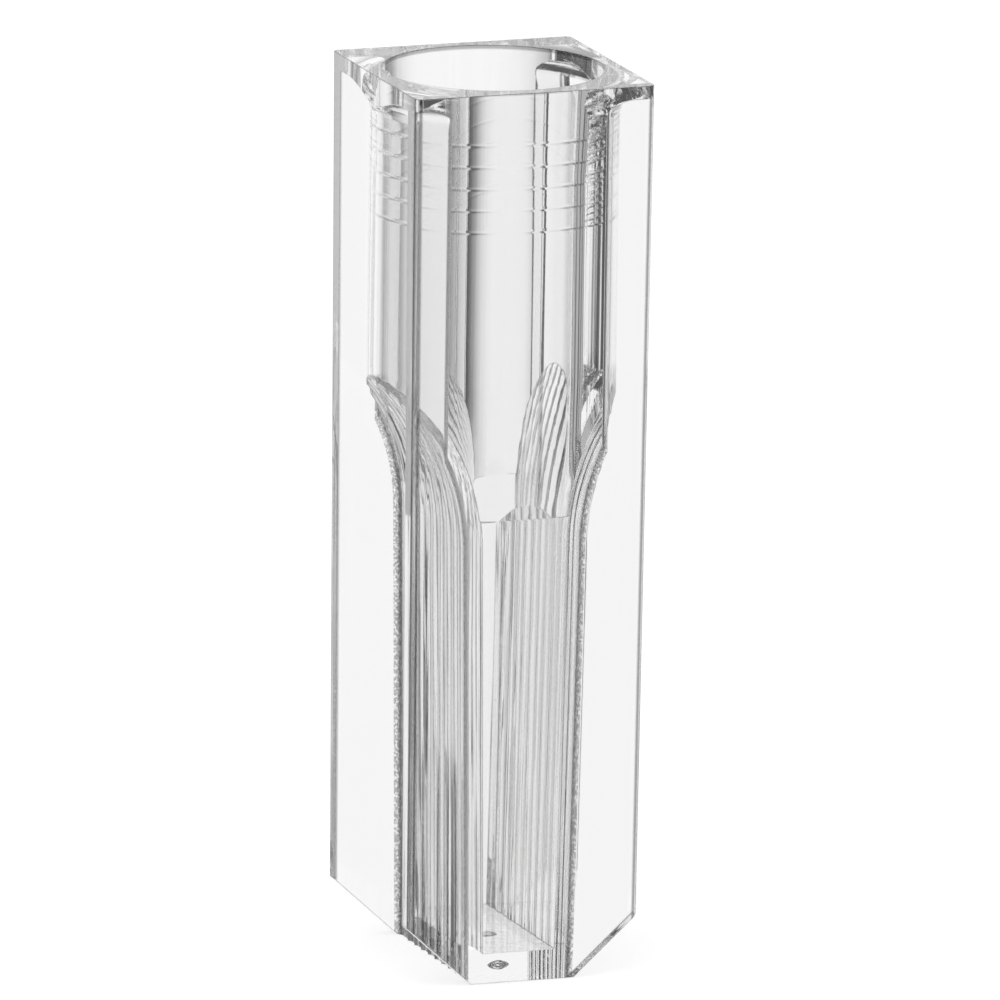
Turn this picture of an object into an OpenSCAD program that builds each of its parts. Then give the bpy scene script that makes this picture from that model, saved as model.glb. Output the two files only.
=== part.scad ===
// Semi-micro measuring cell, moulded in one piece from clear plastic.
// It has a square outline, a round mouth and bore above, and a narrow flat-sided chamber
// below, all carried between two full-width window plates.
// The origin is at the middle of the base, and the window plates face along Y.

/* [Outline] */
// Side of the square outline at the top
outer_top = 12.5; // [12.3:0.1:14]
// Side of the square outline at the base
outer_base = 12; // [11.6:0.1:13]
// Overall height
height = 45; // [43:0.5:60]
// Radius of the four upright outer corners
corner_r = 0.3; // [0.1:0.05:0.6]

/* [Window plates] */
// Depth of the chamber between the two window plates, which is the light path
light_path = 10; // [9.4:0.1:10.2]
// Width of the flat foot between the lower corner cuts
foot_w = 5.4; // [5.3:0.1:8]
// Height of the lower corner cuts at the outer edge of the window plates
corner_cut_h = 3; // [1:0.25:6]

/* [Top plate] */
// Thickness of the square plate around the mouth
plate_t = 0.8; // [0.5:0.1:2]
// Radius of the blend between the tube and the underside of the square plate
plate_blend_r = 1.4; // [0.4:0.1:1.6]

/* [Tube] */
// Outer radius of the round upper tube
tube_r = 6.1; // [5.9:0.05:6.15]
// Radius of the blend between the tube and the window plates
tube_blend_r = 0.3; // [0.2:0.05:0.7]
// Radius of the straight part of the bore
bore_r = 5.3; // [5.15:0.05:5.4]
// Lean of the bore's wall below its straight part, in degrees
bore_draft = 0.9; // [0.1:0.1:1.1]
// Radius of the bore at the rim of the mouth
mouth_r = 5.5; // [5.4:0.05:5.7]
// Depth of the tapered lead-in below the mouth
mouth_depth = 5; // [1:0.5:8]

/* [Bore rings] */
// Number of shallow rings in the bore
ring_count = 5; // [0:1:5]
// Spacing of the rings
ring_pitch = 1.1; // [0.7:0.1:1.3]
// Height of the lowest ring above the base
ring_z = 37.9; // [33:0.1:38]
// Depth of each ring
ring_depth = 0.02; // [0.02:0.01:0.1]
// Width of each ring
ring_w = 0.2; // [0.15:0.05:0.5]

/* [Chamber] */
// Width of the chamber at its floor
chamber_w = 3.8; // [3.2:0.1:4]
// Thickness of the chamber floor
floor_t = 1.35; // [0.8:0.05:3]
// Thickness of the two ribbed side walls
wall_t = 0.65; // [0.5:0.05:0.75]
// Lean of the side walls in degrees
draft = 0.9; // [0.2:0.1:1.1]
// Height above the base where the side walls start to flare
flare_z = 22; // [16:0.5:24]
// Radius of the outer flare under the tube
flare_r = 11; // [9:0.5:14]
// Height above the base where the flat windows give way to the round bore
window_z = 23.3; // [18:0.1:26]
// Height of the slope that joins the flat windows to the bore
window_slope_h = 1.1; // [0.3:0.1:1.5]
// Radius of the blend between the side walls and the window plates
web_blend_r = 0.45; // [0.1:0.05:0.6]

/* [Ribs] */
// Number of upright ribs on each side wall
rib_count = 8; // [0:1:8]
// Spacing of the ribs
rib_pitch = 1; // [0.8:0.05:1.1]
// Width of each rib at its foot
rib_w = 0.35; // [0.2:0.05:0.75]
// Height of each rib
rib_h = 0.13; // [0.04:0.01:0.2]

/* [Gate mark] */
// Diameter of the shallow dimple under the base
gate_d = 1.2; // [0.6:0.1:2.4]
// Depth of the dimple
gate_depth = 0.25; // [0.1:0.05:0.6]

/* [Hidden] */
$fn = 96;

// Length by which cutters run past the faces that they open
past = 1;
// Thickness of the end slices that the outer block is hulled from
slice = 0.01;
// Depth to which a blend is sunk into the faces that it joins
tuck = 0.02;
// Half of the widest outline and a margin, used to size cutters
reach = max(outer_top, outer_base) / 2 + past;
// Half of the light path
half_path = light_path / 2;
// Level of the underside of the top plate
plate_z = height - plate_t;

// Outer half width of the side walls at the level where their flare starts
web_half = chamber_w / 2 + (flare_z - floor_t) * tan(draft) + wall_t / cos(draft);
// Common centre of the outer and inner flare arcs, in the plane of width and height
flare_c = [web_half + flare_r * cos(draft), flare_z - flare_r * sin(draft)];
// Radius of the inner flare, one wall thickness inside the outer one, and where it starts
flare_in_r = flare_r + wall_t;
channel_half = flare_c[0] - flare_in_r * cos(draft);
channel_z = flare_c[1] + flare_in_r * sin(draft);
// Level where the straight part of the bore starts, clear above the flare
flare_margin = 0.3;
straight_z = flare_margin + flare_c[1] + sqrt(pow(flare_in_r, 2) - pow(flare_c[0] - bore_r, 2));

// Centre of the blend between the tube and a window plate, in plan
blend_y = half_path - tube_blend_r;
blend_x = sqrt(pow(tube_r + tube_blend_r, 2) - pow(blend_y, 2));

// Points along an arc in steps of about seven degrees, from the angle a to the angle b
function arc(cx, cy, r, a, b) =
    let (steps = ceil(abs(b - a) / 7))
    [for (i = [0:steps]) [cx + r * cos(a + (b - a) * i / steps), cy + r * sin(a + (b - a) * i / steps)]];

// Radius of the bore at the level z, in its straight part and in its tapered mouth
function bore_at(z) = bore_r + (mouth_r - bore_r) * max(0, z - height + mouth_depth) / mouth_depth;

// Place of rib number i across the side wall
function rib_at(i) = (i - (rib_count - 1) / 2) * rib_pitch;

// Lays a shape drawn in width and height so that it runs along Y, half of len each way
module along_y(len) {
    rotate([90, 0, 0])
        linear_extrude(height = len, center = true)
            children();
}

// A square block whose sides lean in from the top to the base, with round upright corners
module leaning_block() {
    hull()
        for (end = [[0, outer_base / 2], [height - slice, outer_top / 2]], x = [-1, 1], y = [-1, 1])
            translate([x * (end[1] - corner_r), y * (end[1] - corner_r), end[0]])
                cylinder(r = corner_r, h = slice, $fn = 32);
}

// One of the four blends that fill the corner between the tube and a window plate, in plan
module tube_blend_plan() {
    difference() {
        polygon([
            [0, half_path],
            [0, 0],
            [tube_r * blend_x / (tube_r + tube_blend_r), tube_r * blend_y / (tube_r + tube_blend_r)],
            [blend_x, blend_y],
            [blend_x, half_path]
        ]);
        translate([blend_x, blend_y])
            circle(r = tube_blend_r);
    }
}

// The hollow blend around the tube where it meets the underside of the top plate
module plate_blend() {
    c = plate_blend_r - tuck;
    translate([0, 0, plate_z])
        rotate_extrude()
            polygon(concat(
                [[tube_r - past, tuck], [tube_r - past, -c]],
                arc(tube_r + c, -c, plate_blend_r, 180, 90)
            ));
}

// Space beside the round tube and between the window plates, under the top plate
module beside_tube() {
    difference() {
        translate([0, 0, -past])
            linear_extrude(height = plate_z + past)
                difference() {
                    square([2 * reach, light_path], center = true);
                    circle(r = tube_r);
                    for (x = [0, 1], y = [0, 1])
                        mirror([x, 0])
                            mirror([0, y])
                                tube_blend_plan();
                }
        plate_blend();
    }
}

// Outline of the space beside a side wall, as [distance out from the wall, place along Y].
// It carries a notch for each rib and a blend into each window plate.
function recess_outline(far) = concat(
    [[far, -half_path]],
    arc(web_blend_r, web_blend_r - half_path, web_blend_r, 270, 180),
    [
        for (i = [0:1:rib_count - 1], corner = [[0, -1], [1, 0], [0, 1]])
            [corner[0] * rib_h, rib_at(i) + corner[1] * rib_w / 2]
    ],
    arc(web_blend_r, half_path - web_blend_r, web_blend_r, 180, 90),
    [[far, half_path]]
);

// Space beside the side wall: straight up along it, then round the flare that closes it
module beside_wall() {
    translate([web_half, 0, flare_z])
        rotate([0, draft, 0]) {
            translate([0, 0, -flare_z - 2 * past])
                linear_extrude(height = flare_z + 2 * past)
                    polygon(recess_outline(flare_r));
            translate([flare_r, 0, 0])
                rotate([-90, 0, 0])
                    rotate([0, 0, 180])
                        rotate_extrude(angle = 90, $fn = 180)
                            polygon([for (p = recess_outline(flare_r)) [flare_r - p[0], p[1]]]);
        }
}

// Width and height outline of the bore and chamber together: leaning walls under a flare
module channel_outline() {
    polygon([
        [-chamber_w / 2, floor_t],
        [chamber_w / 2, floor_t],
        [channel_half, channel_z],
        [-channel_half, channel_z]
    ]);
    difference() {
        translate([-reach, channel_z])
            square([2 * reach, height - channel_z + past]);
        for (x = [-1, 1])
            translate([x * flare_c[0], flare_c[1]])
                circle(r = flare_in_r, $fn = 180);
    }
}

// Depth and height outline of the bore: flat windows below, then a slope out to the round
module window_outline() {
    polygon([
        [-half_path, floor_t],
        [half_path, floor_t],
        [half_path, window_z],
        [bore_r, window_z + window_slope_h],
        [reach, window_z + window_slope_h],
        [reach, height + past],
        [-reach, height + past],
        [-reach, window_z + window_slope_h],
        [-bore_r, window_z + window_slope_h],
        [-half_path, window_z]
    ]);
}

// The round bore: a leaning wall below, a straight part with shallow rings, and a tapered mouth
module bore() {
    intersection() {
        union() {
            rotate_extrude()
                polygon([
                    [0, 0],
                    [bore_r - straight_z * tan(bore_draft), 0],
                    [bore_r, straight_z],
                    [bore_r, height - mouth_depth],
                    [bore_at(height + past), height + past],
                    [0, height + past]
                ]);
            for (i = [0:1:ring_count - 1])
                ring_groove(ring_z + i * ring_pitch);
        }
        rotate([0, 0, 90])
            along_y(2 * reach)
                window_outline();
    }
}

// One shallow groove with sloping sides around the bore, at the level z
module ring_groove(z) {
    rotate_extrude()
        polygon([
            [bore_at(z) - ring_depth, z - ring_w],
            [bore_at(z) + ring_depth, z],
            [bore_at(z) - ring_depth, z + ring_w]
        ]);
}

// All of the hollow inside: the bore, the chamber and the flare between them
module hollow() {
    intersection() {
        along_y(2 * reach)
            channel_outline();
        union() {
            bore();
            translate([-reach, -half_path, 0])
                cube([2 * reach, light_path, window_z]);
        }
    }
}

// Slanting cut across one lower corner of both window plates
module corner_cut() {
    run = outer_base / 2 - foot_w / 2;
    along_y(2 * reach)
        polygon([
            [foot_w / 2 - run / 2, -corner_cut_h / 2],
            [foot_w / 2 + 2 * run, -corner_cut_h / 2],
            [foot_w / 2 + 2 * run, corner_cut_h * 2]
        ]);
}

// Shallow round dimple left by the gate in the middle of the base
module gate_mark() {
    ball_r = (gate_d * gate_d / 4 + gate_depth * gate_depth) / (2 * gate_depth);
    translate([0, 0, gate_depth - ball_r])
        sphere(r = ball_r);
}

module cuvette() {
    color([0.93, 0.95, 0.96, 0.35])
        difference() {
            leaning_block();
            beside_tube();
            for (side = [0, 1])
                mirror([side, 0, 0]) {
                    beside_wall();
                    corner_cut();
                }
            hollow();
            gate_mark();
        }
}

cuvette();
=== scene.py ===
"""A semi-micro cuvette moulded in one piece from clear plastic, standing on a pale floor."""

import math

import bpy
import numpy as np
from mathutils import Matrix, Vector

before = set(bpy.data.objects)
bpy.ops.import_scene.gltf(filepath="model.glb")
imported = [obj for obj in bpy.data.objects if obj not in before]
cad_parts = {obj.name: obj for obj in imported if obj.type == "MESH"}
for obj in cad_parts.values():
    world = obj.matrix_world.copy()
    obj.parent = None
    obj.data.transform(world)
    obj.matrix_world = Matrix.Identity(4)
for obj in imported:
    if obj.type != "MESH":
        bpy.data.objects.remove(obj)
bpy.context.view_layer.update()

MM = 0.001

# Camera: its turn round the object, its rise above level and its slight roll
CAMERA_TURN = math.radians(-19.864)
CAMERA_RISE = math.radians(12.803)
CAMERA_ROLL = math.radians(0.802)
# Its distance, its lens and the nearest and furthest place that it sees
CAMERA_DISTANCE = 1.2
CAMERA_LENS = 871.6
CAMERA_SENSOR = 36
CAMERA_REACH = (0.01, 10)
# The place that it looks at, and its shift beside and above that line
CAMERA_AIM = Vector((0.0, 0.0, 0.0225))
CAMERA_SLIDE_RIGHT = 0.000606
CAMERA_SLIDE_UP = 0.000615

# Sizes of the moulding that its finish follows, in millimetres and degrees
DRAFT = math.radians(0.9)
CHAMBER_W = 3.8
FLOOR_T = 1.35
WALL_T = 0.65
FLARE_Z = 22.0
FLARE_R = 11.0
HALF_PATH = 5.0
OUTER_TOP = 12.5
OUTER_BASE = 12.0
HEIGHT = 45.0
MOUTH_R = 5.5

# Clear polystyrene
PLASTIC_IOR = 1.59

# Satin finish of the ribbed side walls: how rough it is, and how far it reaches in and out
# of the wall's outer face, beside the window plates, above the base and up the flare
SATIN_ROUGH = 0.09
SATIN_IN = 0.2
SATIN_OUT = 0.5
SATIN_INSET = 0.02
SATIN_FOOT = 0.01
SATIN_TOP = 30.2

# Small round left on every edge by the mould
EDGE_ROUND = 0.1 * MM
EDGE_SAMPLES = 4
# How much darker the colour is painted on the round of an edge, as painted shade, and where its
# turn counts as an edge
EDGE_PAINTED_SHADE = 0.85
EDGE_TURN = (0.8, 0.99)

# Upright outer corners: their radius, the shares of the round where the painted shade starts
# and ends, how much darker the colour is painted, and how much of the radius a place must reach
# out to count
CORNER_R = 0.3
CORNER_START = (-0.3, 0.15)
CORNER_MIDDLE = (0.35, 0.75)
CORNER_PAINTED_SHADE = 0.85
CORNER_REACH = 0.6

# Rim of the mouth: how deep and how far outside the mouth its colour is painted darker as painted
# shade, and how much
RIM_DEEP = 0.25
RIM_OUT = 0.1
RIM_PAINTED_SHADE = 0.75

# Fine upright tool lines on the satin walls, fainter above the levels of the fade
LINE_STRETCH = (0.3, 1, 0.015)
LINE_SCALE = 1300.0
LINE_DETAIL = 1.0
LINE_WIDTH = 0.05
LINE_FADE = (5.0, 14.0)
LINE_FAINT = 0.6
LINE_DEPTH = 0.012 * MM

# Bolder score lines low on the left wall: their spacing and shift along the wall, how they
# wander, their width as a share of the spacing, and the levels where they fade out
SCORE_PITCH = 1.2
SCORE_SHIFT = 0.83
SCORE_STRETCH = (0.3, 1, 0.05)
SCORE_SCALE = 300.0
SCORE_DETAIL = 1.0
SCORE_WANDER = 0.12
SCORE_WIDTH = 0.17
SCORE_FADE = (7.5, 12.0)
SCORE_DEPTH = 0.04 * MM
# How much darker the score lines' colour is painted, as painted shade
SCORE_PAINTED_SHADE = 0.97
# Distance from the middle where they end beside the window plates, and the noise that
# breaks them into dashes
SCORE_SIDES = (3.9, 4.3)
BREAK_STRETCH = (1, 1, 0.25)
BREAK_SCALE = 900.0
BREAK_DETAIL = 1.0
BREAK_AT = (0.25, 0.4)

# Mottled frosting where the side walls turn into the window plates: where it starts, its
# grain, its depth, and how much darker its dull spots are painted, as painted shade
FROST_FROM = (4.35, 4.6)
FROST_STRETCH = (1, 1, 1)
FROST_SCALE = 16000.0
FROST_DETAIL = 3.0
FROST_DEPTH = 0.02 * MM
FROST_PAINTED_SHADE = 0.75
SPOT_SCALE = 8000.0
SPOT_DETAIL = 2.0
SPOT_AT = (0.3, 0.6)

# Faint upright drag lines all over, and slow flow marks
DRAG_STRETCH = (1, 1, 0.01)
DRAG_SCALE = 1800.0
DRAG_DETAIL = 2.0
DRAG_DEPTH = 0.006 * MM
FLOW_STRETCH = (1, 1, 0.12)
FLOW_SCALE = 450.0
FLOW_DETAIL = 2.0
FLOW_DEPTH = 0.004 * MM

# Brightness of the pale tent for light that comes straight through the object, and how
# nearly a direction must point at a panel, from the panel's edge to its full white
TONE_STRAIGHT = 0.09
PANEL = (0.6, 0.95)
SIDE_PANEL = (0.88, 0.98)
# The same for light that was mirrored inside the object: the dark, and the main panel
TONE_MIRRORED = 0.09
TONE_MIRRORED_PANEL = 1.0
MIRROR_TURN = math.radians(5)
MIRROR_LOBE = (0.6, 0.88)
# The weaker panel at its side
TONE_MIRRORED_SIDE = 0.48
MIRROR_SIDE = math.radians(90)
SIDE_LOBE = (0.6, 0.95)
# And the glow from steeply below
TONE_DOWN = 0.8
DOWN_LOBE = (-0.9, -0.55)

# Floor and lamp
FLOOR_GAP = 0.05 * MM
FLOOR_RADIUS = 0.6
FLOOR_GLOW = 0.8
FLOOR_PAINT = 0.25
FLOOR_RINGS = 24
FLOOR_SPOKES = 96
LAMP_SIZE = 0.6
LAMP_POWER = 3.0
LAMP_PLACE = Vector((-0.3, -0.3, 0.9))

# How often light may turn inside the plastic
BOUNCES = 32


def node_math(tree, operation, *values):
    """Adds a Math node; each value is a number or a socket."""
    node = tree.nodes.new("ShaderNodeMath")
    node.operation = operation
    for place, value in enumerate(values):
        if isinstance(value, (int, float)):
            node.inputs[place].default_value = value
        else:
            tree.links.new(value, node.inputs[place])
    return node.outputs[0]


def ramp(tree, value, low, high, start=0.0, end=1.0):
    """Eases from start to end while the value goes from low to high."""
    node = tree.nodes.new("ShaderNodeMapRange")
    node.interpolation_type = "SMOOTHSTEP"
    tree.links.new(value, node.inputs[0])
    for place, number in enumerate((low, high, start, end), 1):
        node.inputs[place].default_value = number
    return node.outputs[0]


def pick(tree, factor, first, second):
    """Blends two values: the first where the factor is 0, the second where it is 1."""
    node = tree.nodes.new("ShaderNodeMix")
    node.data_type = "FLOAT"
    for socket, value in ((0, factor), (2, first), (3, second)):
        if isinstance(value, (int, float)):
            node.inputs[socket].default_value = value
        else:
            tree.links.new(value, node.inputs[socket])
    return node.outputs[0]


def after_painted_shade(tree, amount, loss):
    """Colour left after painted shade, where the amount, from 0 to 1, darkens it by up to the
    loss.
    """
    return node_math(tree, "MULTIPLY_ADD", amount, -loss, 1.0)


def place_of(tree, output):
    """The three parts of a texture coordinate."""
    coordinate = tree.nodes.new("ShaderNodeTexCoord")
    split = tree.nodes.new("ShaderNodeSeparateXYZ")
    tree.links.new(coordinate.outputs[output], split.inputs[0])
    return split.outputs


def along(tree, x, y, turn):
    """How far the direction (x, y) points away from a camera turned by the angle: -1 to 1."""
    return node_math(tree, "ADD",
                     node_math(tree, "MULTIPLY", x, -math.sin(turn)),
                     node_math(tree, "MULTIPLY", y, math.cos(turn)))


def tent_tone(tree, x, y, z):
    """Brightness of the pale tent in a direction (x, y, z), and the light path that it asks.

    Light that comes straight through the object sees white panels on four sides. Light
    that was mirrored inside the object sees one broad panel behind it, a weaker one at its
    side, a glow from steeply below, and darkness elsewhere.
    """
    path = tree.nodes.new("ShaderNodeLightPath")
    behind = node_math(tree, "ABSOLUTE", along(tree, x, y, CAMERA_TURN))
    aside = node_math(tree, "ABSOLUTE", along(tree, x, y, CAMERA_TURN + math.pi / 2))
    straight = node_math(tree, "MAXIMUM",
                         ramp(tree, behind, *PANEL, TONE_STRAIGHT, 1.0),
                         ramp(tree, aside, *SIDE_PANEL, TONE_STRAIGHT, 1.0))
    mirrored = node_math(tree, "MAXIMUM",
                         ramp(tree, along(tree, x, y, CAMERA_TURN + MIRROR_TURN), *MIRROR_LOBE,
                              TONE_MIRRORED, TONE_MIRRORED_PANEL),
                         ramp(tree, along(tree, x, y, CAMERA_TURN - MIRROR_SIDE), *SIDE_LOBE,
                              TONE_MIRRORED, TONE_MIRRORED_SIDE))
    mirrored = node_math(tree, "MAXIMUM", mirrored, ramp(tree, z, *DOWN_LOBE, TONE_DOWN, 0.0))
    was_mirrored = node_math(tree, "GREATER_THAN", path.outputs["Glossy Depth"], 0.5)
    return pick(tree, was_mirrored, straight, mirrored), path


def pale_tent():
    """The world: a white tent, plain white where it is seen directly."""
    world = bpy.data.worlds.new("pale_tent")
    bpy.context.scene.world = world
    world.use_nodes = True
    tree = world.node_tree
    x, y, z = place_of(tree, "Generated")
    tone, path = tent_tone(tree, x, y, z)
    seen = node_math(tree, "MAXIMUM",
                     path.outputs["Is Camera Ray"], path.outputs["Is Diffuse Ray"])
    tree.links.new(pick(tree, seen, tone, 1.0), tree.nodes["Background"].inputs["Strength"])
    tree.nodes["Background"].inputs["Color"].default_value = (1, 1, 1, 1)


def floor_material():
    """A white sheet: part glow, so that it stays white, and part paint, to hold a shadow.

    The plastic shows the tent below the sheet instead of the sheet itself.
    """
    material = bpy.data.materials.new("white_sheet")
    material.use_nodes = True
    tree = material.node_tree
    tree.nodes.remove(tree.nodes["Principled BSDF"])
    path = tree.nodes.new("ShaderNodeLightPath")
    glow = tree.nodes.new("ShaderNodeEmission")
    tree.links.new(pick(tree, path.outputs["Is Diffuse Ray"], FLOOR_GLOW, 0.0),
                   glow.inputs["Strength"])
    paint = tree.nodes.new("ShaderNodeBsdfDiffuse")
    paint.inputs["Color"].default_value = (FLOOR_PAINT, FLOOR_PAINT, FLOOR_PAINT, 1)
    sheet = tree.nodes.new("ShaderNodeAddShader")
    tree.links.new(glow.outputs[0], sheet.inputs[0])
    tree.links.new(paint.outputs[0], sheet.inputs[1])
    clear = tree.nodes.new("ShaderNodeBsdfTransparent")
    either = tree.nodes.new("ShaderNodeMixShader")
    in_plastic = node_math(tree, "MAXIMUM",
                           path.outputs["Is Transmission Ray"], path.outputs["Is Glossy Ray"])
    tree.links.new(in_plastic, either.inputs[0])
    tree.links.new(sheet.outputs[0], either.inputs[1])
    tree.links.new(clear.outputs[0], either.inputs[2])
    tree.links.new(either.outputs[0], tree.nodes["Material Output"].inputs["Surface"])
    return material


def floor():
    """A flat disc just under the base.

    The radius grows evenly from ring to ring, and the spokes share out one full turn.
    """
    radius, turn = np.meshgrid(
        np.linspace(0, FLOOR_RADIUS, FLOOR_RINGS + 1)[1:],
        np.linspace(0, 2 * math.pi, FLOOR_SPOKES, endpoint=False), indexing="ij")
    rim = np.stack((radius * np.cos(turn), radius * np.sin(turn),
                    np.full_like(turn, -FLOOR_GAP)), axis=-1)
    points = np.concatenate(([[0.0, 0.0, -FLOOR_GAP]], rim.reshape(-1, 3)))
    index = 1 + np.arange(radius.size).reshape(radius.shape)
    after = np.roll(index, -1, axis=1)
    middle = np.stack((np.zeros_like(index[0]), index[0], after[0]), axis=-1)
    bands = np.stack((index[:-1], index[1:], after[1:], after[:-1]), axis=-1)
    mesh = bpy.data.meshes.new("floor")
    mesh.from_pydata(points.tolist(), [], middle.tolist() + bands.reshape(-1, 4).tolist())
    mesh.materials.append(floor_material())
    sheet = bpy.data.objects.new("floor", mesh)
    bpy.context.scene.collection.objects.link(sheet)


def lamp():
    """One large soft lamp above the object."""
    data = bpy.data.lights.new("soft_lamp", "AREA")
    data.size = LAMP_SIZE
    data.energy = LAMP_POWER
    light = bpy.data.objects.new("soft_lamp", data)
    light.location = LAMP_PLACE
    light.rotation_euler = LAMP_PLACE.to_track_quat("Z", "Y").to_euler()
    bpy.context.scene.collection.objects.link(light)


def camera():
    """Looks at the middle of the object from its left, from a little above."""
    back = Vector((
        math.sin(CAMERA_TURN) * math.cos(CAMERA_RISE),
        -math.cos(CAMERA_TURN) * math.cos(CAMERA_RISE),
        math.sin(CAMERA_RISE),
    ))
    right = Vector((math.cos(CAMERA_TURN), math.sin(CAMERA_TURN), 0))
    up = back.cross(right)
    data = bpy.data.cameras.new("camera")
    data.lens = CAMERA_LENS
    data.sensor_width = CAMERA_SENSOR
    data.clip_start, data.clip_end = CAMERA_REACH
    view = bpy.data.objects.new("camera", data)
    turned = Matrix((
        math.cos(CAMERA_ROLL) * right + math.sin(CAMERA_ROLL) * up,
        math.cos(CAMERA_ROLL) * up - math.sin(CAMERA_ROLL) * right,
        back,
    )).transposed().to_4x4()
    turned.translation = (CAMERA_AIM + CAMERA_DISTANCE * back
                          + CAMERA_SLIDE_RIGHT * right + CAMERA_SLIDE_UP * up)
    view.matrix_world = turned
    bpy.context.scene.collection.objects.link(view)
    bpy.context.scene.camera = view


def satin_mask(tree, x, y, z):
    """1 on the ribbed outer faces of the side walls, and 0 on the rest.

    The outer face leans out by the draft up to the flare, and then follows the flare's arc.
    All three coordinates are in millimetres.
    """
    half = CHAMBER_W / 2 + (FLARE_Z - FLOOR_T) * math.tan(DRAFT) + WALL_T / math.cos(DRAFT)
    arc_x = half + FLARE_R * math.cos(DRAFT)
    arc_z = FLARE_Z - FLARE_R * math.sin(DRAFT)
    leaning = node_math(tree, "ADD", half - FLARE_Z * math.tan(DRAFT),
                        node_math(tree, "MULTIPLY", z, math.tan(DRAFT)))
    rise = node_math(tree, "SUBTRACT", z, arc_z)
    reach = node_math(tree, "SUBTRACT", FLARE_R ** 2, node_math(tree, "MULTIPLY", rise, rise))
    curved = node_math(tree, "SUBTRACT", arc_x,
                       node_math(tree, "SQRT", node_math(tree, "MAXIMUM", reach, 0.0)))
    face = pick(tree, node_math(tree, "GREATER_THAN", z, FLARE_Z), leaning, curved)
    out = node_math(tree, "SUBTRACT", node_math(tree, "ABSOLUTE", x), face)
    mask = node_math(tree, "GREATER_THAN", out, -SATIN_IN)
    for test in (
        node_math(tree, "LESS_THAN", out, SATIN_OUT),
        node_math(tree, "LESS_THAN", node_math(tree, "ABSOLUTE", y), HALF_PATH - SATIN_INSET),
        node_math(tree, "LESS_THAN", z, SATIN_TOP),
        node_math(tree, "GREATER_THAN", z, SATIN_FOOT),
    ):
        mask = node_math(tree, "MULTIPLY", mask, test)
    return mask


def painted_round_shade(tree, x, y, z):
    """Colour left after painted shade on the upright outer corners and the mouth's rim.

    Across a corner, the share is how far the lesser of |x| and |y| reaches past the start of
    the round, over how far the greater does: 0 where the round starts, and 1 in its middle.
    The colour is painted darker, as painted shade, beside the start of the round, and is whole
    again in its middle. The rim's painted shade is how near the point is to the top, inside the
    mouth's edge.
    """
    start = node_math(tree, "MULTIPLY_ADD", z, (OUTER_TOP - OUTER_BASE) / 2 / HEIGHT,
                      OUTER_BASE / 2 - CORNER_R)
    side, face = (node_math(tree, "SUBTRACT", node_math(tree, "ABSOLUTE", part), start)
                  for part in (x, y))
    outer = node_math(tree, "MAXIMUM", side, face)
    share = node_math(tree, "DIVIDE", node_math(tree, "MINIMUM", side, face),
                      node_math(tree, "MAXIMUM", outer, CORNER_R / 2))
    corner = node_math(tree, "MULTIPLY", ramp(tree, share, *CORNER_START),
                       ramp(tree, share, *CORNER_MIDDLE, 1.0, 0.0))
    corner = node_math(tree, "MULTIPLY", corner,
                       node_math(tree, "GREATER_THAN", outer, CORNER_R * CORNER_REACH))
    radius = node_math(tree, "SQRT", node_math(tree, "MULTIPLY_ADD", x, x,
                                               node_math(tree, "MULTIPLY", y, y)))
    rim = node_math(tree, "MULTIPLY", ramp(tree, z, HEIGHT - RIM_DEEP, HEIGHT - RIM_DEEP / 2),
                    node_math(tree, "LESS_THAN", radius, MOUTH_R + RIM_OUT))
    return node_math(tree, "MULTIPLY", after_painted_shade(tree, corner, CORNER_PAINTED_SHADE),
                     after_painted_shade(tree, rim, RIM_PAINTED_SHADE))


def streaks(tree, stretch, scale, detail):
    """Noise drawn out by the stretch along each axis; the scale is in features a metre."""
    coordinate = tree.nodes.new("ShaderNodeTexCoord")
    mapping = tree.nodes.new("ShaderNodeMapping")
    mapping.inputs["Scale"].default_value = stretch
    noise = tree.nodes.new("ShaderNodeTexNoise")
    noise.inputs["Scale"].default_value = scale
    noise.inputs["Detail"].default_value = detail
    tree.links.new(coordinate.outputs["Object"], mapping.inputs[0])
    tree.links.new(mapping.outputs[0], noise.inputs["Vector"])
    return noise.outputs["Fac"]


def bump(tree, height, strength, distance, normal):
    """Adds a Bump node over an earlier normal."""
    node = tree.nodes.new("ShaderNodeBump")
    node.inputs["Distance"].default_value = distance
    tree.links.new(height, node.inputs["Height"])
    if isinstance(strength, (int, float)):
        node.inputs["Strength"].default_value = strength
    else:
        tree.links.new(strength, node.inputs["Strength"])
    tree.links.new(normal, node.inputs["Normal"])
    return node.outputs[0]


def rounded_edges_and_painted_shade(tree):
    """The normal with every edge slightly round, and the colour there painted darker as painted
    shade.

    The colour on an edge is painted darker, as painted shade: the further the round normal
    turns from the face's own, the darker it is painted.
    """
    rounded = tree.nodes.new("ShaderNodeBevel")
    rounded.samples = EDGE_SAMPLES
    rounded.inputs["Radius"].default_value = EDGE_ROUND
    normal = rounded.outputs[0]
    flat = tree.nodes.new("ShaderNodeNewGeometry")
    turn = tree.nodes.new("ShaderNodeVectorMath")
    turn.operation = "DOT_PRODUCT"
    tree.links.new(normal, turn.inputs[0])
    tree.links.new(flat.outputs["Normal"], turn.inputs[1])
    return normal, ramp(tree, turn.outputs["Value"], *EDGE_TURN, 1 - EDGE_PAINTED_SHADE, 1.0)


def tool_lines(tree, z, satin, normal):
    """Thin, irregular upright lines on the satin walls, deepest near the foot."""
    wander = streaks(tree, LINE_STRETCH, LINE_SCALE, LINE_DETAIL)
    middle = node_math(tree, "ABSOLUTE", node_math(tree, "SUBTRACT", wander, 0.5))
    groove = ramp(tree, middle, 0.0, LINE_WIDTH)
    depth = node_math(tree, "MULTIPLY", satin, ramp(tree, z, *LINE_FADE, 1.0, LINE_FAINT))
    return bump(tree, groove, depth, LINE_DEPTH, normal)


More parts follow.
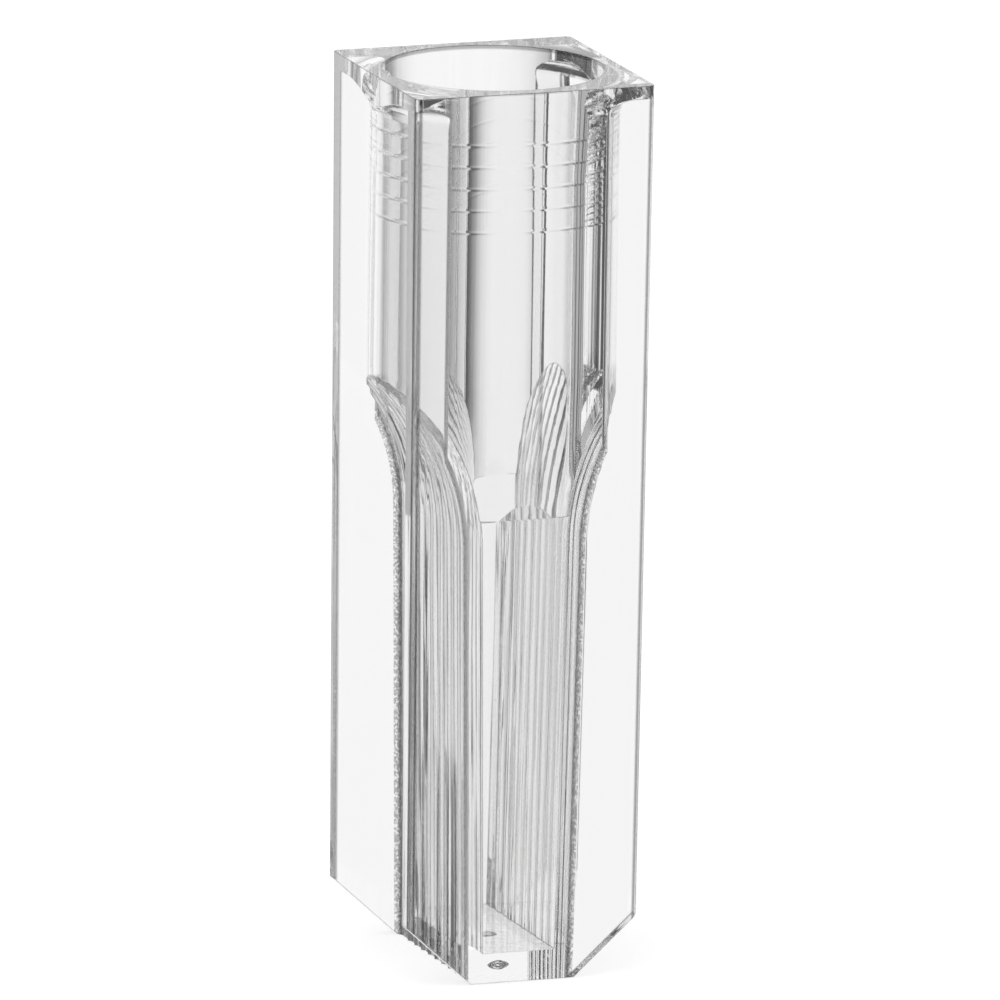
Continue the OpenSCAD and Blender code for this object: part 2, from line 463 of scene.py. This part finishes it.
def score_lines(tree, x, y, z, satin, normal):
    """Bolder, nearly even lines low on the left wall, broken into dashes.

    They repeat along the wall once in each pitch, shifted by a slow wander. Returns the
    normal with the lines cut in, and the colour left after the painted shade in them.
    """
    shift = node_math(tree, "MULTIPLY_ADD",
                      streaks(tree, SCORE_STRETCH, SCORE_SCALE, SCORE_DETAIL),
                      SCORE_WANDER, SCORE_SHIFT)
    wave = node_math(tree, "MULTIPLY_ADD", y, 1 / SCORE_PITCH, shift)
    near = node_math(tree, "ABSOLUTE",
                     node_math(tree, "SUBTRACT", node_math(tree, "FRACT", wave), 0.5))
    score = ramp(tree, near, 0.0, SCORE_WIDTH)
    broken = ramp(tree, streaks(tree, BREAK_STRETCH, BREAK_SCALE, BREAK_DETAIL), *BREAK_AT)
    low = node_math(tree, "MULTIPLY", ramp(tree, z, *SCORE_FADE, 1.0, 0.0),
                    node_math(tree, "LESS_THAN", x, 0.0))
    low = node_math(tree, "MULTIPLY", low,
                    ramp(tree, node_math(tree, "ABSOLUTE", y), *SCORE_SIDES, 1.0, 0.0))
    low = node_math(tree, "MULTIPLY", node_math(tree, "MULTIPLY", satin, broken), low)
    normal = bump(tree, score, low, SCORE_DEPTH, normal)
    scored = node_math(tree, "MULTIPLY", low, node_math(tree, "SUBTRACT", 1.0, score))
    return normal, after_painted_shade(tree, scored, SCORE_PAINTED_SHADE)


def frosting(tree, y, satin, normal):
    """Fine mottled frosting where the side walls turn into the window plates.

    Returns the normal with the grain on it, and the colour left after the painted shade on its
    dull spots.
    """
    frost = node_math(tree, "MULTIPLY",
                      ramp(tree, node_math(tree, "ABSOLUTE", y), *FROST_FROM), satin)
    normal = bump(tree, streaks(tree, FROST_STRETCH, FROST_SCALE, FROST_DETAIL), frost,
                  FROST_DEPTH, normal)
    spots = ramp(tree, streaks(tree, FROST_STRETCH, SPOT_SCALE, SPOT_DETAIL), *SPOT_AT)
    return normal, after_painted_shade(tree, node_math(tree, "MULTIPLY", frost, spots), FROST_PAINTED_SHADE)


def clear_plastic():
    """Clear moulded polystyrene: polished, with satin ribbed walls, tool lines and flow marks."""
    material = bpy.data.materials.new("clear_plastic")
    material.use_nodes = True
    tree = material.node_tree
    shader = tree.nodes["Principled BSDF"]
    shader.inputs["Base Color"].default_value = (1, 1, 1, 1)
    shader.inputs["IOR"].default_value = PLASTIC_IOR
    shader.inputs["Transmission Weight"].default_value = 1.0
    x, y, z = (node_math(tree, "MULTIPLY", part, 1 / MM) for part in place_of(tree, "Object"))
    satin = satin_mask(tree, x, y, z)
    tree.links.new(node_math(tree, "MULTIPLY", satin, SATIN_ROUGH), shader.inputs["Roughness"])

    normal, painted_shade = rounded_edges_and_painted_shade(tree)
    painted_shade = node_math(tree, "MULTIPLY", painted_shade, painted_round_shade(tree, x, y, z))
    normal = tool_lines(tree, z, satin, normal)
    normal, left = score_lines(tree, x, y, z, satin, normal)
    painted_shade = node_math(tree, "MULTIPLY", painted_shade, left)
    normal, left = frosting(tree, y, satin, normal)
    painted_shade = node_math(tree, "MULTIPLY", painted_shade, left)
    # The base colour is painted darker on edges, corners, the rim, score lines and frost spots,
    # as painted shade
    painted_shade_tint = tree.nodes.new("ShaderNodeCombineColor")
    for part in range(3):
        tree.links.new(painted_shade, painted_shade_tint.inputs[part])
    tree.links.new(painted_shade_tint.outputs[0], shader.inputs["Base Color"])

    for stretch, scale, detail, depth in (
        (DRAG_STRETCH, DRAG_SCALE, DRAG_DETAIL, DRAG_DEPTH),
        (FLOW_STRETCH, FLOW_SCALE, FLOW_DETAIL, FLOW_DEPTH),
    ):
        normal = bump(tree, streaks(tree, stretch, scale, detail), 1.0, depth, normal)
    tree.links.new(normal, shader.inputs["Normal"])
    return material


pale_tent()
floor()
lamp()
camera()

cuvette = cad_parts["cuvette"]
cuvette.data.materials.clear()
cuvette.data.materials.append(clear_plastic())

scene = bpy.context.scene
scene.view_settings.view_transform = "Standard"
scene.cycles.max_bounces = BOUNCES
scene.cycles.transmission_bounces = BOUNCES
scene.cycles.glossy_bounces = BOUNCES
scene.cycles.transparent_max_bounces = BOUNCES
